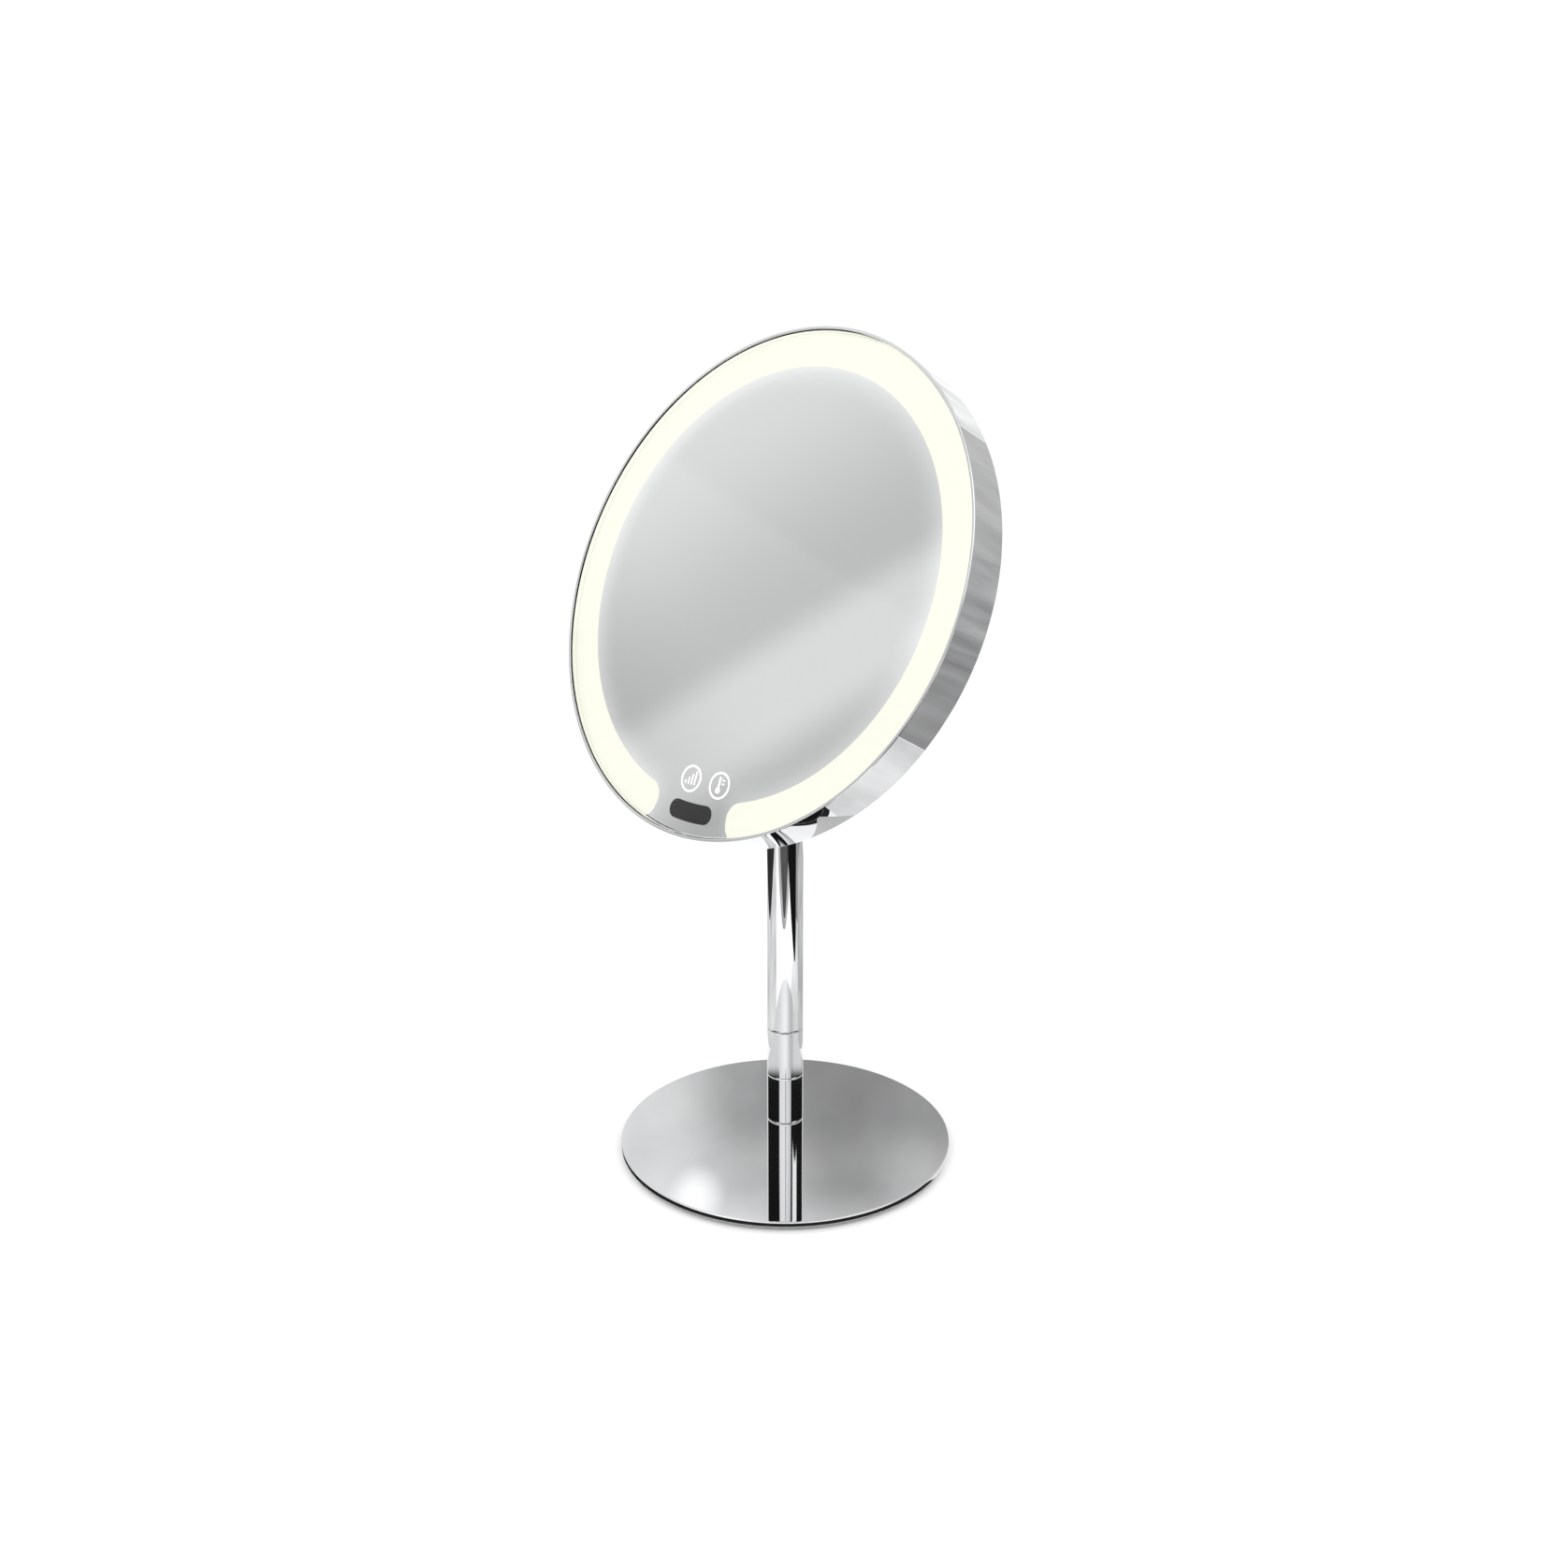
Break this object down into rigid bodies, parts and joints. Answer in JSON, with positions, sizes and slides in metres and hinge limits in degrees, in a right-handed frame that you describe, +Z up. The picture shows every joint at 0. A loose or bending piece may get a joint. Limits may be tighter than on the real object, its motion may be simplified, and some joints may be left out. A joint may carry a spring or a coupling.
{
  "type": "lighted vanity mirror",
  "caption": "Round table-top make-up mirror with a glowing C-shaped light band, touch marks, a chrome rim and stem, and a thin round foot.",
  "frame": {"origin": "centre of the foot's underside", "axes": "+Z up, -Y towards the user's side, +X to the right seen from -Y; the head is turned to the left and tilted up at rest"},
  "size_m": [0.173, 0.1955, 0.3211],
  "materials": {
    "polished_chrome": "mirror-polished chrome plate",
    "zinc_steel": "zinc-plated steel",
    "bearing_nylon": "natural nylon",
    "foot_rubber": "matt black sheet",
    "cover_plastic": "silver-grey moulded, fine texture",
    "tray_plastic": "white moulded",
    "clear_glass": "polished float glass",
    "silvering": "silver mirror film",
    "glowing_opal": "opal diffuser, lit",
    "icon_light": "translucent white, lit",
    "window_black": "infra-red clear black",
    "foam_tape": "double-sided foam tape",
    "white_board": "white solder mask",
    "green_board": "green solder mask",
    "warm_led": "warm white package",
    "cool_led": "cool white package",
    "pad_foam": "conductive foam",
    "eye_plastic": "dark infra-red lens",
    "battery_foil": "foil pouch",
    "component_black": "moulded black",
    "port_steel": "stamped steel",
    "slider_plastic": "ribbed black",
    "ribbon_white": "flat cable jacket",
    "wire_jacket": "soft insulation"
  },
  "bodies": {
    "base": {"base_plate": "polished_chrome", "base_pad": "foot_rubber", "base_screw": "zinc_steel", "lower_collar": "polished_chrome", "swivel_spigot": "zinc_steel", "thrust_washer": "bearing_nylon", "swivel_spring_washer": "zinc_steel", "swivel_screw": "zinc_steel"},
    "stem": {"stem_tube": "polished_chrome", "swivel_bush": "bearing_nylon", "stem_knuckle": "polished_chrome"},
    "head": {"hinge_bracket": "polished_chrome", "hinge_bolt": "polished_chrome", "hinge_friction_washers": "bearing_nylon", "hinge_spring_washer": "zinc_steel", "hinge_nut": "polished_chrome", "hinge_backing_plate": "zinc_steel", "bracket_screws": "zinc_steel", "bezel_ring": "polished_chrome", "back_cover": "cover_plastic", "cover_screws": "zinc_steel", "inner_tray": "tray_plastic", "mirror_glass": "clear_glass", "brightness_icon": "icon_light", "temperature_icon": "icon_light", "sensor_window": "window_black", "silver_coating": "silvering", "light_diffuser": "glowing_opal", "mirror_tape": "foam_tape", "led_board": "white_board", "warm_leds": "warm_led", "cool_leds": "cool_led", "sensor_board": "green_board", "touch_pads": "pad_foam", "proximity_eyes": "eye_plastic", "battery_cell": "battery_foil", "battery_tape": "foam_tape", "main_board": "green_board", "board_components": "component_black", "board_spacers": "bearing_nylon", "board_screws": "zinc_steel", "usb_port": "port_steel", "usb_tongue": "component_black", "port_board": "green_board", "switch_case": "component_black", "sensor_ribbon": "ribbon_white", "battery_wires": "wire_jacket", "led_wires": "wire_jacket", "port_wires": "wire_jacket", "switch_wires": "wire_jacket"},
    "switch": {"power_slider": "slider_plastic"}
  },
  "joints": [
    {"name": "stem_swivel", "type": "hinge", "parent": "base", "child": "stem", "pos_m": [0, 0.054, 0.026], "axis": [0, 0, 1], "continuous": true},
    {"name": "head_tilt", "type": "hinge", "parent": "stem", "child": "head", "pos_m": [0, 0.054, 0.188], "axis": [-0.7225, 0.6914, 0], "range_deg": [-25, 55]},
    {"name": "power_slide", "type": "slide", "parent": "head", "child": "switch", "axis": [-0.7225, 0.6914, 0], "range_m": [0, 0.003]}
  ]
}
